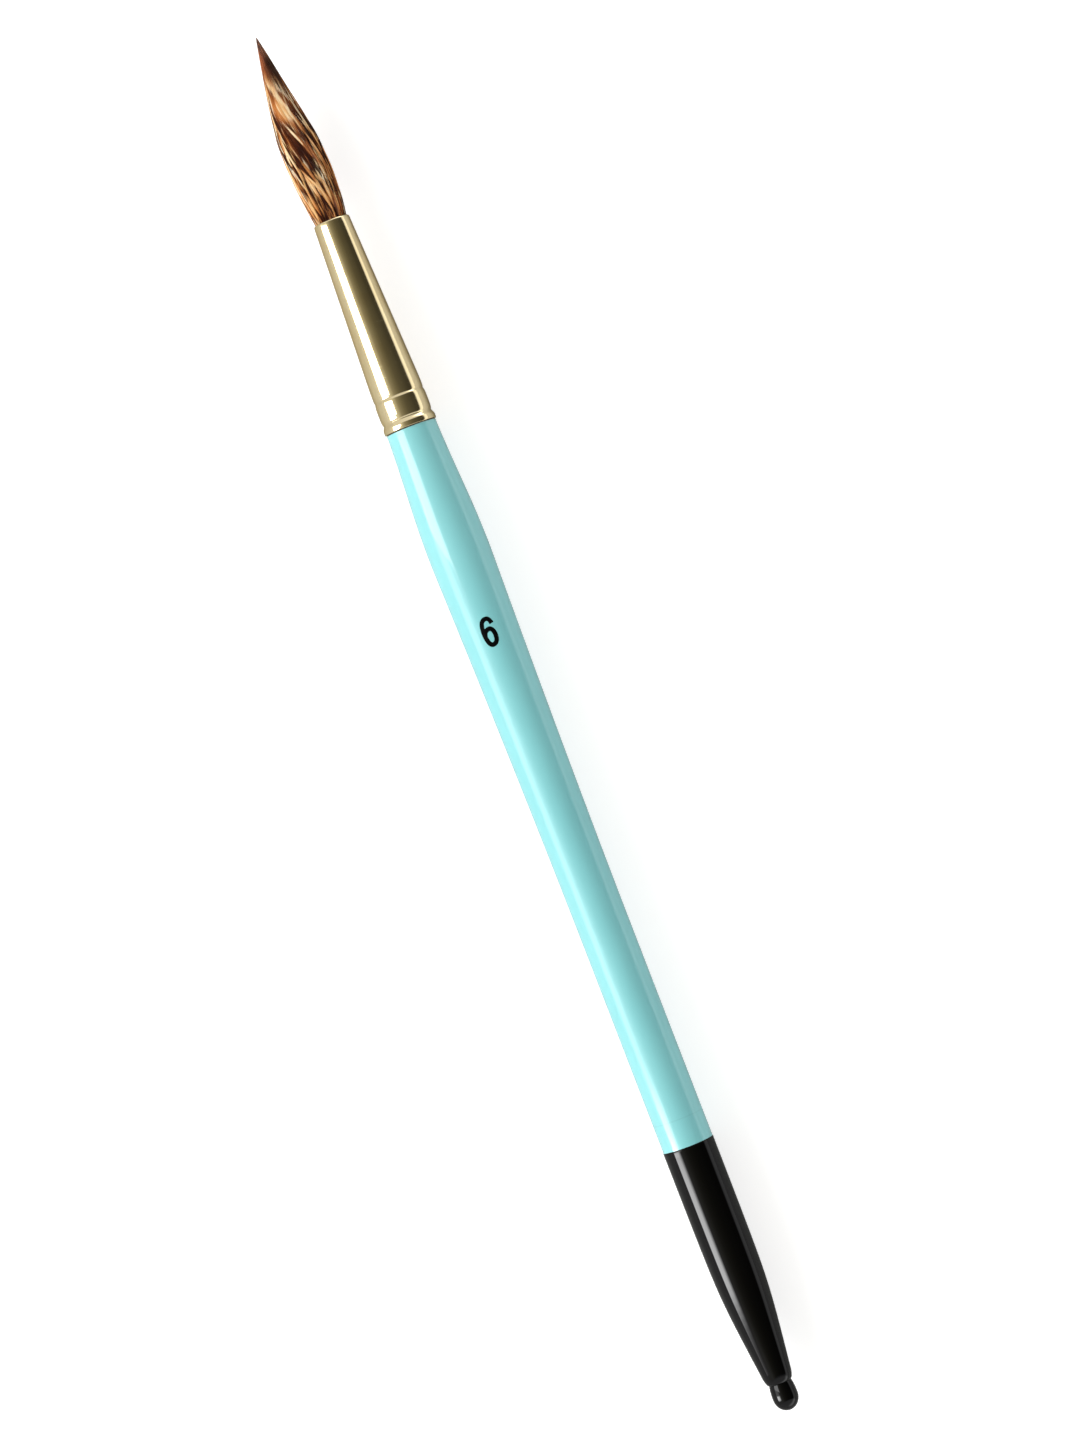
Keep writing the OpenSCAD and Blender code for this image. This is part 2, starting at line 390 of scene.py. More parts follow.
# The raised edge: how far behind the dip's front, its half width and its height
RIM_BACK, RIM_HALF, RIM_RISE = 0.18 * MM, 0.16 * MM, 0.012 * MM
black, tree, shader = finish(
    "black_lacquer", Specular_IOR_Level=0.0,
    Coat_Weight=0.52, Coat_Roughness=0.05, Coat_IOR=1.47,
)
marks = add_marks(tree)
drive(
    tree, shader,
    Base_Color=ramp(tree, marks["Flow"], (0.3, JET), (0.7, JET_PALE)),
    Roughness=between(tree, marks["Smudge"], 0.3, 0.44),
    Normal=add_bump(tree, marks["Flow"], 0.03 * MM),
)
dip_skin = touched_up(
    eased_outline(turned_outline("black_dip", 1), longest=1.0 * MM),
    [(dip_edge - RIM_BACK, RIM_HALF, RIM_RISE)],
)
dip = turn("black_dipped_tail", dip_skin, turned_outline("black_dip", -1))
dip.data.materials.append(black)
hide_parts("black_dip")

# ---------------------------------------------------------------- size numeral
# The brush's size, pad printed on the handle in matt black ink that stands a
# few microns proud. It reads with the hair upwards and leans a little.

NUMERAL_X = TAIL_X + 101.88 * MM
NUMERAL_LEAN = math.radians(9)
STROKE = 0.56 * MM
# The ink's height, and the share it gains by the stroke's end, over its stem
INK_RISE, LATER_RISE = 0.008 * MM, 0.25
# The stroke narrows over its last rows, to little more than this share
END_ROWS, END_SHARE = 10, 0.2
# The stroke's middle line in mm, from the top's end round to the bowl's end
SIX = [
    (0.43, 0.98), (0.31, 1.26), (0.11, 1.52), (-0.16, 1.63), (-0.48, 1.53), (-0.73, 1.21),
    (-0.82, 0.73), (-0.80, 0.16), (-0.70, -0.40), (-0.55, -0.95), (-0.31, -1.41), (0.03, -1.62),
    (0.41, -1.48), (0.63, -1.07), (0.62, -0.49), (0.44, 0.05), (0.11, 0.36), (-0.24, 0.29),
    (-0.48, 0.06), (-0.60, -0.21), (-0.64, -0.52), (-0.56, -0.88),
]


def spline(points, steps):
    """A smooth run through points, with its tangents."""
    run = []
    count = len(points)
    for i in range(count - 1):
        p0, p1, p2, p3 = (
            np.array(points[min(max(k, 0), count - 1)]) for k in range(i - 1, i + 3)
        )
        for k in range(steps + (i == count - 2)):
            t = k / steps
            point = 0.5 * (
                2 * p1 + (p2 - p0) * t + (2 * p0 - 5 * p1 + 4 * p2 - p3) * t**2
                + (3 * p1 - p0 - 3 * p2 + p3) * t**3
            )
            slope = 0.5 * (
                (p2 - p0) + 2 * (2 * p0 - 5 * p1 + 4 * p2 - p3) * t
                + 3 * (3 * p1 - p0 - 3 * p2 + p3) * t**2
            )
            run.append((point, slope / np.linalg.norm(slope)))
    return run


def on_handle(across, along, rise):
    """A point of the print: across to the right, along to the hair, off the lacquer."""
    across, along = (
        across * math.cos(NUMERAL_LEAN) + along * math.sin(NUMERAL_LEAN),
        along * math.cos(NUMERAL_LEAN) - across * math.sin(NUMERAL_LEAN),
    )
    x = NUMERAL_X + along
    radius = float(np.interp(x, *zip(*aqua_skin)))
    angle = -across / radius
    radius += rise
    return x, radius * math.sin(angle), AXIS_Z + radius * math.cos(angle)


# Across the stroke: its foot in the lacquer, the shoulder, and the flat top
SECTION = [
    (-1, -0.01), (-0.97, 1), (-0.6, 1), (-0.2, 1), (0.2, 1), (0.6, 1), (0.97, 1), (1, -0.01),
]
vertices, faces = [], []
strokes = spline(SIX, steps=7)
for i, (point, slope) in enumerate(strokes):
    side = np.array((slope[1], -slope[0]))
    half = STROKE / 2 * min(1, (len(strokes) - i) / END_ROWS + END_SHARE)
    thickness = INK_RISE * (1 + LATER_RISE * i / len(strokes))
    for share, rise in SECTION:
        q = point * MM + side * share * half
        vertices.append(on_handle(q[0], q[1], rise * thickness))
    if len(vertices) > len(SECTION):
        row = len(vertices) - len(SECTION)
        faces.extend(
            (row + k, row + k + 1, row + k + 1 - len(SECTION), row + k - len(SECTION))
            for k in range(len(SECTION) - 1)
        )
numeral = add_piece("size_numeral", vertices, faces)

ink, tree, shader = finish("printed_ink", Specular_IOR_Level=0.05)
marks = add_marks(tree, smudges=2500.0)
drive(
    tree, shader,
    Base_Color=ramp(
        tree, marks["Smudge"],
        (0.35, (0.0006, 0.0006, 0.0006)), (0.75, (0.0018, 0.0018, 0.002)),
    ),
    Roughness=between(tree, marks["Smudge"], 0.3, 0.55),
)
numeral.data.materials.append(ink)

# ---------------------------------------------------------------- tenon glue
# A film of clear glue between the tenon and the ferrule, squeezed out thin as
# the tube is pushed on. It is hidden.

glue, tree, shader = finish("tenon_glue", Roughness=0.3, IOR=1.5)
marks = add_marks(tree, smudges=900.0)
drive(
    tree, shader,
    Base_Color=ramp(
        tree, marks["Smudge"], (0.3, (0.55, 0.42, 0.2)), (0.7, (0.72, 0.62, 0.38))
    ),
    Normal=add_bump(tree, marks["Smudge"], 0.03 * MM),
)
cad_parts["tenon_glue"].data.materials[0] = glue

# ---------------------------------------------------------------- ferrule
# A seamless tube of pale brass, drawn to a cone and polished bright, with a
# rolled lip at the mouth and two crimps that hold it on the tenon.

BRASS = (0.80, 0.67, 0.405)
BRASS_WARM = (0.76, 0.615, 0.35)
POLISH_LINES = (9000, 90, 90)  # fine along the tube and broad round it
brass, tree, shader = finish(
    "polished_brass", Metallic=1.0, Specular_Tint=(0.58, 0.52, 0.42, 1)
)
marks = add_marks(tree, smudges=320.0)
place = add_node(tree, "TexCoord").outputs["Object"]
drawn = add_node(tree, "Mapping", {"Vector": place, "Scale": POLISH_LINES}).outputs[0]
polish = add_node(tree, "TexNoise", {"Vector": drawn, "Scale": 1.0, "Detail": 2.0})
tarnish = math_node(tree, "MULTIPLY", marks["Smudge"], marks["Flow"])
wear = between(tree, marks["Scratch"], 0.06, 0.18)
drive(
    tree, shader,
    Base_Color=ramp(tree, tarnish, (0.15, BRASS_WARM), (0.32, BRASS)),
    Roughness=math_node(tree, "MULTIPLY_ADD", marks["Smudge"], 0.09, wear),
    Normal=add_bump(tree, polish.outputs["Fac"], 0.0006 * MM),
)
ferrule_skin = eased_outline(turned_outline("ferrule", 1), longest=0.8 * MM)
ferrule = turn("brass_ferrule", ferrule_skin, turned_outline("ferrule", -1))
ferrule.data.materials.append(brass)
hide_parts("ferrule")

# ---------------------------------------------------------------- binding thread
# Waxed linen thread, wound tight round the hair's root before it is set in the
# ferrule. It is hidden.

thread, tree, shader = finish("waxed_thread", Roughness=0.6, Sheen_Weight=0.2)
linen = add_fibres(tree, along=2400, across=2400)
drive(
    tree, shader,
    Base_Color=ramp(
        tree, linen["Streak"], (0.35, (0.45, 0.38, 0.27)), (0.65, (0.72, 0.66, 0.53))
    ),
    Normal=add_bump(tree, linen["Fine"], 0.02 * MM),
)
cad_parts["binding_thread"].data.materials[0] = thread

# ---------------------------------------------------------------- root cement
# Amber epoxy, poured in round the butt of the hair and over the thread, set
# with a few fine bubbles. It is hidden.

cement, tree, shader = finish("epoxy_cement", IOR=1.55)
marks = add_marks(tree, smudges=1400.0)
drive(
    tree, shader,
    Base_Color=ramp(
        tree, marks["Smudge"], (0.3, (0.36, 0.24, 0.09)), (0.7, (0.56, 0.43, 0.22))
    ),
    Roughness=between(tree, marks["Smudge"], 0.15, 0.45),
)
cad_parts["root_cement"].data.materials[0] = cement

# ---------------------------------------------------------------- inner hairs
# The imported middle of the tuft: thousands of dark hairs that show only between
# the outer locks, and carry the tuft from the butt to the point. Their colour is
# painted darker than the outer hairs', as painted shade in the gaps between locks.

MOUTH_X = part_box("ferrule")[1].x
HAIR_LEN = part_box("hair_core")[1].x - MOUTH_X
# In mm: how deep the tuft's root is in the ferrule, and its radius there
ROOT_DEPTH, ROOT_RADIUS = 4.0, 2.02
# The tuft's drift towards +Y, and the share of its length that it takes
HAIR_DRIFT, DRIFT_REACH = 0.48 * MM, 0.75


def bezier(a, b, c, d, steps):
    """Points of a cubic curve, without its first."""
    return [
        tuple(
            (1 - t) ** 3 * p + 3 * (1 - t) ** 2 * t * q + 3 * (1 - t) * t**2 * r + t**3 * s
            for p, q, r, s in zip(a, b, c, d)
        )
        for t in (k / steps for k in range(1, steps + 1))
    ]


# The tuft's own outline in mm, as height above the ferrule's mouth and radius
TUFT = (
    [(-ROOT_DEPTH, ROOT_RADIUS), (0.0, ROOT_RADIUS)]
    + bezier((0, ROOT_RADIUS), (5.49, 2.98), (11.01, 2.48), (11.5, 2.387), steps=24)
    + bezier((11.5, 2.387), (12.0, 2.335), (22.43, 0.556), (24.2, 0.05), steps=24)
)
TUFT_H, TUFT_R = (np.array(column) * MM for column in zip(*TUFT))


def ease(t):
    """An S-shaped rise from 0 to 1."""
    t = np.clip(t, 0, 1)
    return t * t * (3 - 2 * t)


def in_tuft(height, angle, share):
    """A point at a share of the tuft's radius, its angle from the top towards +Y."""
    radius = np.interp(height, TUFT_H, TUFT_R) * share
    drift = HAIR_DRIFT * ease(height / (HAIR_LEN * DRIFT_REACH))
    y = drift + radius * np.sin(angle)
    z = AXIS_Z + radius * np.cos(angle)
    return np.stack((np.broadcast_to(MOUTH_X + height, y.shape), y, z), axis=-1)


CORE_SIDES, CORE_ROWS = 48, 40
# The core's share of the tuft's radius, how much of the rest it gains towards
# the point, and the share of the length where that begins
CORE_SHARE, CORE_GAIN, GAIN_FROM = 0.86, 0.6, 0.7


def core_share(height):
    """The core's share of the tuft's radius at a height."""
    gain = ease((height / HAIR_LEN - GAIN_FROM) / (1 - GAIN_FROM)) * CORE_GAIN
    return CORE_SHARE + (1 - CORE_SHARE) * gain


core_heights = [-ROOT_DEPTH * MM] + [HAIR_LEN * k / CORE_ROWS for k in range(CORE_ROWS + 1)]
around = np.arange(CORE_SIDES) * 2 * math.pi / CORE_SIDES
vertices = np.concatenate([in_tuft(h, around, core_share(h)) for h in core_heights])
faces = [
    (j * CORE_SIDES + k, (j + 1) * CORE_SIDES + k,
     (j + 1) * CORE_SIDES + (k + 1) % CORE_SIDES, j * CORE_SIDES + (k + 1) % CORE_SIDES)
    for j in range(len(core_heights) - 1)
    for k in range(CORE_SIDES)
]
faces.append(tuple(range(CORE_SIDES)))
faces.append(tuple(reversed(range(len(vertices) - CORE_SIDES, len(vertices)))))
inner_hairs = add_piece("inner_hairs", vertices.tolist(), faces)

inner, tree, shader = finish("inner_hair", Roughness=0.5, Specular_IOR_Level=0.4)
mass = add_fibres(tree, along=260, across=5200, detail=5.0)
# near black: the dark hairs' colour, painted darker still as the shade between the outer locks
drive(
    tree, shader,
    Base_Color=ramp(
        tree, mass["Streak"],
        (0.38, (0.012, 0.0045, 0.0035)), (0.55, (0.035, 0.012, 0.008)), (0.7, (0.13, 0.045, 0.02)),
    ),
    Normal=add_bump(tree, mass["Fine"], 0.04 * MM),
)
inner_hairs.data.materials.append(inner)
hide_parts("hair_core")

# ---------------------------------------------------------------- outer hairs
# Natural sable: fine tapered hairs, cream to dark brown along their length,
# that gather in spindle-shaped locks and draw together in a dark, rusty point.

HAIR_SEED = 241
HAIR_SIDES = 3
rng = np.random.default_rng(HAIR_SEED)
# How far the hairs turn round the tuft on their way up, and how early they do
SWIRL, SWIRL_PACE = math.radians(50), 1.15
# From near black to cream
TONES = np.array([
    (0.026, 0.0085, 0.0070),
    (0.078, 0.022, 0.013),
    (0.200, 0.058, 0.021),
    (0.440, 0.148, 0.046),
    (0.745, 0.365, 0.125),
    (0.900, 0.640, 0.320),
    (0.970, 0.860, 0.650),
])
RUST = np.array((0.490, 0.190, 0.092))
POINT_DARK = np.array((0.057, 0.0185, 0.0120))
# In mm: the height where the point's dark begins and the run over which it comes,
# and the same for the rust at its very end
DARK_FROM, DARK_RUN = 17.1, 2.8
RUST_FROM, RUST_RUN = 20.9, 2.0
hair_points, hair_faces, hair_colours = [], [], []


def tone_colour(tone):
    """Hair colour for a tone from 0, near black, to 1, cream."""
    at = np.clip(tone, 0, 1) * (len(TONES) - 1)
    return np.stack([np.interp(at, range(len(TONES)), TONES[:, c]) for c in range(3)], axis=-1)


def swirl(height):
    """The turn that all hairs share."""
    return SWIRL * ease(height / HAIR_LEN * SWIRL_PACE)


def hump(value, centre, width):
    """A soft hump, 1 at its centre."""
    return np.exp(-(((value - centre) / width) ** 2))


def wrapped(angle):
    """An angle brought within half a turn of 0."""
    return (angle + math.pi) % (2 * math.pi) - math.pi


# Pale tongues that spread upwards from the middle: place round the tuft, strength
FLAMES = ((0.0, 0.9), (2.1, 0.6), (4.2, 0.7))


def banded(height, angle, tone):
    """The tone by place: dark at the root and in a belt, pale elsewhere; painted light on the left
    and painted shade on the right.
    """
    h = height / MM
    side = np.sin(angle)  # 1 on the brush's left, -1 on its right
    # painted light on the lamps' side: a pale left edge near the root, and a pale patch left of
    # the belt
    painted_left_light = ease((side - 0.35) / 0.4) * (1 - ease((h - 4.0) / 4.0))
    glow = hump(h, 10.0, 2.0) * hump(side, 0.4, 0.3)
    above = hump(h, 15.0, 2.0) * (0.16 - 0.09 * side)
    # the tone also rises a little towards the lamps on the left, as painted light
    tone = np.clip(tone + 0.02 + 0.04 * side + 0.09 * painted_left_light + above + 0.12 * glow, 0, 1)
    # painted shade: darker low on the right, away from the lamps
    painted_right_shade = hump(h, 6.5, 3.5) * ease((-0.45 - side) / 0.4)
    root = (1 - ease((h - 1.5) / 3.5)) * (1 - side**2)
    belt = hump(h, 10.0, 1.9) * ease((0.75 - side) / 0.8)
    tone = tone * (1 - 0.3 * painted_right_shade)
    tone = tone * (1 - 0.26 * root) * (1 - 0.36 * belt * (1 - tone))
    for place, strength in FLAMES:
        rise = np.maximum(h - 12.2, 0)
        spread = hump(wrapped(angle - place - 0.10 * rise), 0, 0.20 + 0.13 * rise)
        flame = ease((h - 12.0) / 1.5) * (1 - 0.75 * ease((h - 15.0) / 2.5)) * spread
        tone = tone + (1.0 - tone) * strength * flame * (0.7 + 0.45 * tone)
    return tone


def usual_lean(height, place, swing):
    """The lean that hairs have on average, which swings twice round the tuft."""
    return 0.02 + swing * np.cos(2 * (place + swirl(height) - 0.1))


# Streaks of light and dark hair: height, place round the tuft, half length,
# half width, lean, bend and tone of each
MASS_TONE = 0.24
STREAKS = 540
STREAK_TONES = (0.03, 0.18, 0.5, 0.8, 1.0)
STREAK_ODDS = (0.32, 0.14, 0.12, 0.16, 0.26)
streak_h = rng.uniform(-1.0, 18.0, STREAKS) * MM
streak_at = rng.uniform(0, 2 * math.pi, STREAKS)
streak_reach = rng.uniform(1.5, 3.4, STREAKS) * MM
streak_half = rng.uniform(0.12, 0.22, STREAKS) * MM
streak_lean = rng.normal(usual_lean(streak_h, streak_at, 0.11), 0.08)
streak_bend = rng.normal(0, 0.17, STREAKS) * MM
streak_tone = rng.choice(STREAK_TONES, STREAKS, p=STREAK_ODDS)


def streaked(height, place, tone):
    """The tone of a hair that passes through the streaks; place is its unswirled angle."""
    along = (height[:, None] - streak_h) / streak_reach
    local = np.interp(height, TUFT_H, TUFT_R)[:, None]
    shift = streak_lean * (height[:, None] - streak_h) + streak_bend * np.sin(along * 3)
    across = wrapped(place[:, None] - streak_at - shift / local) * local / streak_half
    weight = np.maximum(1 - along**2, 0) * np.maximum(1 - across**2, 0) ** 0.6
    strongest = weight.argmax(axis=1)
    share = weight.max(axis=1) ** 0.6
    return tone * (1 - share) + streak_tone[strongest] * share


def pointed_colour(height, angle, tone):
    """A hair's colour along it: its tones, then the point's dark, with painted light as rust on
    +Y, the lamps' side, and painted shade opposite, and rust at its very end.
    """
    # the dark begins higher on the lamps' side
    begin = (DARK_FROM + 0.9 * np.sin(angle[-1]) + rng.normal(0, 0.7)) * MM
    dark = ease((height - begin) / (DARK_RUN * MM))[:, None]
    # painted light and shade: the point is rust on the lamps' side (+Y) and dark on the far side
    lean = ease((np.sin(angle) + 0.12 + rng.normal(0, 0.15)) / 0.6)[:, None]
    last = ease((height - RUST_FROM * MM) / (RUST_RUN * MM))[:, None]
    end = (RUST * lean + POINT_DARK * (1 - lean)) * (1 - last) + RUST * last
    tone = banded(height, angle, tone) * (1 - 0.5 * dark[:, 0])
    colour = tone_colour(tone) * (1 - dark) + end * rng.uniform(0.5, 1.5) * dark
    return np.clip(colour, 0, 1)


def lay_hair(height, place, share, thickness, tone):
    """One tapered, three-sided hair along heights of the tuft, coloured by its tone."""
    angle = place + swirl(height)
    path = in_tuft(height, angle, share)
    ahead = np.gradient(path, axis=0)
    ahead /= np.linalg.norm(ahead, axis=1)[:, None]
    out = np.stack((np.zeros(len(path)), np.sin(angle), np.cos(angle)), axis=-1)
    side = np.cross(out, ahead)
    side /= np.linalg.norm(side, axis=1)[:, None]
    out = np.cross(ahead, side)
    first = sum(len(p) for p in hair_points)
    count = len(path)
    for corner in range(HAIR_SIDES):
        a = math.pi / 2 + corner * 2 * math.pi / HAIR_SIDES
        offset = (side * math.cos(a) + out * math.sin(a)) * (thickness / 2)[:, None]
        hair_points.append(path + offset)
    steps = np.arange(count - 1)
    for corner in range(HAIR_SIDES):
        low, high = first + corner * count, first + (corner + 1) % HAIR_SIDES * count
        hair_faces.append(
            np.stack((low + steps, low + steps + 1, high + steps + 1, high + steps), axis=-1)
        )
    hair_colours.append(np.tile(pointed_colour(height, angle, tone), (HAIR_SIDES, 1)))


def sway(height, rate):
    """A wave along a hair, begun anywhere."""
    return np.sin(height / MM * rate + rng.uniform(0, 6.3))


# Long hairs from the root, laid close all round the core
LONG_HAIRS, LONG_POINTS = 1200, 28
END_SINK = (0.005, 0.01, 0.03, 0.07)  # how a hair's last points sink into the mass
for _ in range(LONG_HAIRS):
    start = rng.uniform(0, 2 * math.pi)
    end_h = rng.uniform(16.0, 23.9) * MM
    h = np.linspace(-1.5 * MM, end_h, LONG_POINTS)
    wave = rng.uniform(0.02, 0.09) * ease(h / (4 * MM))
    place = start + wave * sway(h, rng.uniform(0.35, 0.7))
    share = rng.uniform(0.89, 0.965) + 0.015 * sway(h, 0.5)
    share[-len(END_SINK):] -= END_SINK
    taper = np.interp(h / end_h, (0, 0.25, 0.7, 1), (0.8, 1, 0.85, 0.12))
    width = rng.uniform(0.07, 0.115) * MM * taper
    tone = MASS_TONE + rng.normal(0, 0.07) + 0.05 * sway(h, 1.1)
    tone = streaked(h, place, tone) + rng.normal(0, 0.025)
    lay_hair(h, place, share, width, tone)

# Spindle-shaped locks: a few hairs that rise out of the mass, lie over their
# neighbours and sink back, leaning one way or the other
LOCKS, LOCK_HAIRS, LOCK_POINTS = 150, 7, 11
LOCK_TONES = (0.03, 0.25, 0.6, 0.85, 1.0)
LOCK_ODDS = (0.3, 0.1, 0.15, 0.2, 0.25)
for _ in range(LOCKS):
    middle = rng.uniform(1.5, 15.5) * MM
    reach = rng.uniform(2.0, 4.2) * MM
    start = rng.uniform(0, 2 * math.pi)
    lean = rng.normal(usual_lean(middle, start, 0.10), 0.08)
    half = rng.uniform(0.10, 0.23) * MM
    peak = rng.choice(LOCK_TONES, p=LOCK_ODDS)
    for v in np.linspace(-0.9, 0.9, LOCK_HAIRS):
        u = np.linspace(-1, 1, LOCK_POINTS)
        h = np.maximum(middle + reach * (u + rng.normal(0, 0.06)), -0.5 * MM)
        local = np.interp(h, TUFT_H, TUFT_R)
        spindle = np.maximum(1 - u * u, 0) ** 0.7
        bend = 0.05 * MM * np.sin(u * 2.6 + start * 5)
        place = start + (half * spindle * v + lean * (h - middle) + bend) / local
        share = 0.915 + 0.065 * (1 - np.abs(u) ** 2.2) + 0.012 * (1 - v * v)
        taper = np.interp(np.abs(u), (0, 0.6, 1), (1, 0.85, 0.25))
        width = rng.uniform(0.07, 0.10) * MM * taper
        glow = spindle * (1 - 0.4 * v * v)
        tone = MASS_TONE + (peak - MASS_TONE) * glow + rng.normal(0, 0.05)
        lay_hair(h, place, share, width, tone)

# Fine long hairs that draw together in the point
FINE_HAIRS, FINE_POINTS = 170, 12
for _ in range(FINE_HAIRS):
    start = rng.uniform(0, 2 * math.pi)
    begin_h = rng.uniform(10, 16) * MM
    end_h = rng.uniform(21.5, 24.15) * MM
    h = np.linspace(begin_h, end_h, FINE_POINTS)
    place = start + rng.normal(0, 0.15) * ease((h - begin_h) / (8 * MM))
    share = np.interp(h, (begin_h, begin_h + 2 * MM, end_h), (0.88, 0.965, 0.94))
    taper = np.interp((h - begin_h) / (end_h - begin_h), (0, 0.3, 1), (0.5, 1, 0.2))
    width = rng.uniform(0.07, 0.11) * MM * taper
    lay_hair(h, place, share, width, streaked(h, place, MASS_TONE + rng.normal(0, 0.1)))

outer_hairs = add_piece(
    "outer_hairs", np.concatenate(hair_points).tolist(), np.concatenate(hair_faces).tolist()
)
shades = outer_hairs.data.color_attributes.new("hair_tone", "FLOAT_COLOR", "POINT")
colours = np.concatenate(hair_colours)
shades.data.foreach_set(
    "color", np.column_stack((colours, np.ones(len(colours)))).astype(np.float32).ravel()
)

sable, tree, shader = finish(
    "sable_hair", Specular_IOR_Level=0.4, Specular_Tint=(1.0, 0.72, 0.5, 1)
)
own_tone = add_node(tree, "Attribute", attribute_name="hair_tone").outputs["Color"]
fine = add_fibres(tree, along=420, across=7000, detail=3.0)["Fine"]
speckle = between(tree, fine, 0.75, 1.25)
shaded = add_node(tree, "VectorMath", {0: own_tone, "Scale": speckle}, operation="SCALE")
drive(
    tree, shader,
    Base_Color=shaded.outputs[0],
    Roughness=between(tree, fine, 0.26, 0.46),
)
outer_hairs.data.materials.append(sable)
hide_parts("hair_locks")

# ---------------------------------------------------------------- floor
# A plain, pale, matt table that the brush lies on. It shows white to the eye
# and in the polished metal, and keeps the brush's soft shadow.

FLOOR_SIZE = 14
FLOOR_COLOUR, FLOOR_MOTTLE = 0.64, 0.01
# How much of its own light the table gives to the eye, and to what mirrors it
FLOOR_LIFT, FLOOR_LIFT_IN_GLOSS = 0.66, 0.03


def ray_kinds(tree):
    """Masks for the rays from the camera, and for those off or through a gloss."""
    kinds = add_node(tree, "LightPath").outputs
    glossy = math_node(tree, "MAXIMUM", kinds["Is Glossy Ray"], kinds["Is Transmission Ray"])
    return kinds["Is Camera Ray"], glossy


bpy.ops.mesh.primitive_plane_add(size=FLOOR_SIZE)
floor = bpy.context.object
floor.name = "floor"
floor.data.name = "floor"
pale, tree, shader = finish("pale_table", Roughness=0.9, Specular_IOR_Level=0.1)
place = add_node(tree, "TexCoord").outputs["Object"]
tooth = add_node(tree, "TexNoise", {"Vector": place, "Scale": 900.0, "Detail": 3.0})
seen, mirrored = ray_kinds(tree)
lift = math_node(tree, "MULTIPLY", seen, FLOOR_LIFT)
drive(
    tree, shader,
    Base_Color=ramp(
        tree, tooth.outputs["Fac"],
        (0.3, (FLOOR_COLOUR * (1 - FLOOR_MOTTLE),) * 3),
        (0.7, (FLOOR_COLOUR * (1 + FLOOR_MOTTLE),) * 3),
    ),
    Emission_Strength=math_node(tree, "MULTIPLY_ADD", mirrored, FLOOR_LIFT_IN_GLOSS, lift),
)
shader.inputs["Emission Color"].default_value = (1, 1, 1, 1)
floor.data.materials.append(pale)

# ---------------------------------------------------------------- studio light
# A row of soft boxes low on the brush's left, dim along the handle and brighter
# at both ends; a pale backdrop all round the table, and a dim ceiling.

# Each lamp: where it begins by angle from straight up and how softly, its ends
# towards the tail and the hair, and its brightness. An end is a place along X,
# its softness, and its lean in X per degree of angle beyond LEAN_FROM.
LEAN_FROM = 60
SLANT = (0.058, 0.007, 0.0028)
LAMPS = (
    (37.5, 1.5, SLANT, (0.32, 0.05, 0), 7.7),
    (47.0, 11.0, (-0.0875, 0.002, 0), SLANT, 3.2),
    (44.0, 4.0, (-0.101, 0.003, 0), (-0.0875, 0.002, 0), 7.7),
    (50.5, 9.5, (-0.275, 0.105, 0), (-0.101, 0.003, 0), 22.0),
)
LAMPS_TOP, TOP_SOFT = 76.0, 1.5
# The backdrop's brightness, and the angles above the table where it fades out
BACKDROP_LEFT, BACKDROP_RIGHT = 0.85, 1.32
BACKDROP_FULL, BACKDROP_OUT = 12, 22
# The walls past the brush's ends: their brightness, which grows low on the right,
# and where along X they begin and are full
WALLS, WALLS_RIGHT = 0.9, 3.3
WALLS_FROM, WALLS_FULL = 0.40, 0.62
# The ceiling's glow by its angle from straight up, in degrees towards +Y
CEILING = (
    (-90, (0.05, 0.047, 0.036)), (-53, (0.062, 0.058, 0.044)), (-35, (0.09, 0.084, 0.062)),
    (-17, (0.118, 0.109, 0.078)), (0, (0.186, 0.172, 0.122)), (17, (0.31, 0.29, 0.225)),
    (29, (0.56, 0.54, 0.45)), (38, (0.8, 0.78, 0.7)), (90, (0.8, 0.8, 0.78)),
)
world = bpy.data.worlds.new("studio")
bpy.context.scene.world = world
world.use_nodes = True
tree = world.node_tree
background = tree.nodes["Background"]
look = add_node(tree, "SeparateXYZ", {0: add_node(tree, "TexCoord").outputs["Generated"]})
look_x, look_y, look_z = (look.outputs[i] for i in range(3))


def product(tree, *values):
    """The product of several values."""
    total = values[0]
    for value in values[1:]:
        total = math_node(tree, "MULTIPLY", total, value)
    return total


tilt = math_node(tree, "ARCTAN2", look_y, look_z)


def lamp_end(end, towards_hair):
    """A lamp's cut-off along the brush: 1 on the hair's side of it, or on the tail's."""
    place, soft, lean = end
    soft = soft if towards_hair else -soft
    lean = math.degrees(lean)
    leaning = math_node(tree, "MULTIPLY_ADD", tilt, -lean, lean * math.radians(LEAN_FROM))
    return fade(tree, math_node(tree, "ADD", look_x, leaning), place - soft, place + soft)


def lamp_side(angle, soft):
    """A lamp's cut-off by angle from straight up: 0 before it and 1 beyond."""
    return fade(tree, tilt, math.radians(angle - soft), math.radians(angle + soft))


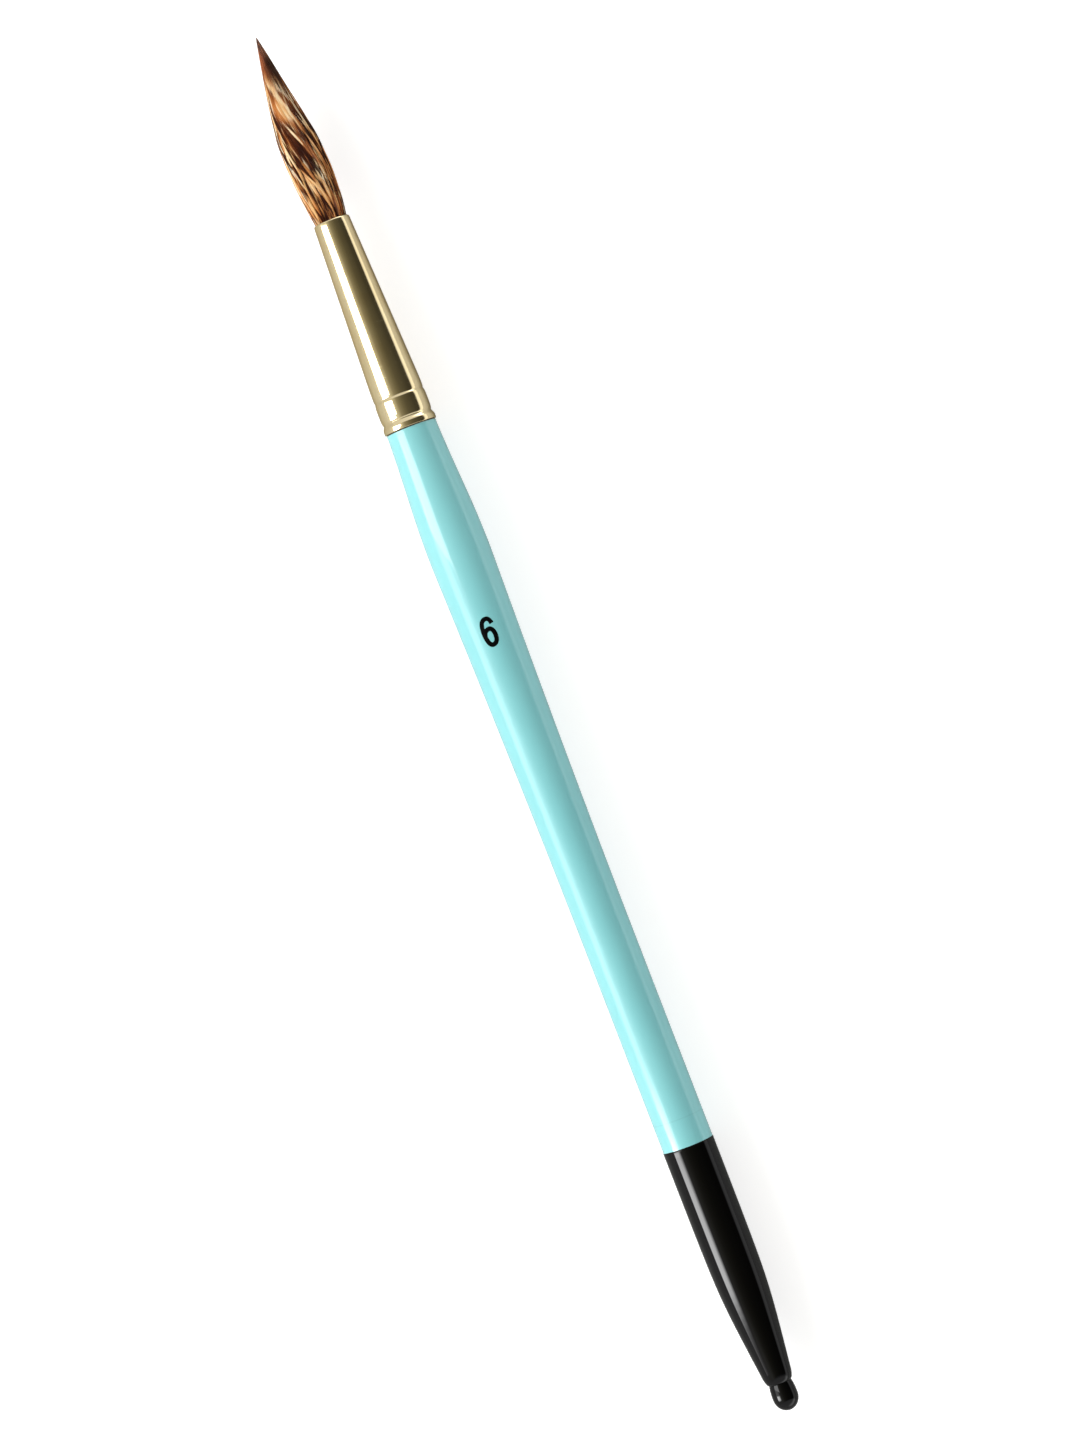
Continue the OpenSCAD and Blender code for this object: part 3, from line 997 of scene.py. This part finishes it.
softboxes = 0.0
for start, start_soft, back, ahead, brightness in LAMPS:
    lamp = product(
        tree,
        lamp_side(start, start_soft),
        lamp_side(LAMPS_TOP, -TOP_SOFT),
        lamp_end(back, True),
        lamp_end(ahead, False),
        brightness,
    )
    softboxes = math_node(tree, "ADD", softboxes, lamp)
low_band = fade(
    tree, look_z, math.sin(math.radians(BACKDROP_OUT)), math.sin(math.radians(BACKDROP_FULL))
)
leftward = fade(tree, look_y, -0.5, 0.5)
backdrop = product(tree, low_band, between(tree, leftward, BACKDROP_RIGHT, BACKDROP_LEFT))
low_right = product(tree, fade(tree, look_y, 0.2, -0.4), fade(tree, look_z, 0.5, 0.15))
walls = product(
    tree,
    fade(tree, math_node(tree, "ABSOLUTE", look_x), WALLS_FROM, WALLS_FULL),
    between(tree, low_right, WALLS, WALLS_RIGHT),
)
surround = math_node(tree, "MAXIMUM", backdrop, walls)
ceiling = ramp(
    tree, math_node(tree, "MULTIPLY_ADD", tilt, 1 / math.pi, 0.5),
    *(((angle + 90) / 180, colour) for angle, colour in CEILING),
)
seen, mirrored = ray_kinds(tree)
least = product(tree, mirrored, low_band, BACKDROP_LEFT)
plain = math_node(tree, "ADD", softboxes, math_node(tree, "MAXIMUM", surround, least))
lit_room = colour_mix(tree, "LIGHTEN", 1.0, ceiling, plain)
studio = colour_mix(tree, "MIX", seen, lit_room, (1, 1, 1, 1))
tree.links.new(studio, background.inputs["Color"])

# ---------------------------------------------------------------- camera
# Straight above the brush, which crosses the frame from low right to high left,
# with a long lens that keeps its sides as straight as they are.

CAMERA_X, CAMERA_Y, CAMERA_RISE = -0.91 * MM, -1.98 * MM, 541 * MM
CAMERA_TURN = math.radians(-111.13)
camera = bpy.data.objects.new("camera", bpy.data.cameras.new("camera"))
bpy.context.scene.collection.objects.link(camera)
camera.location = (CAMERA_X, CAMERA_Y, AXIS_Z + CAMERA_RISE)
camera.rotation_euler = (0, 0, CAMERA_TURN)
camera.data.lens = 110
camera.data.sensor_width = 36
camera.data.clip_start = 0.01
camera.data.clip_end = 50
bpy.context.scene.camera = camera
bpy.context.scene.view_settings.view_transform = "Standard"
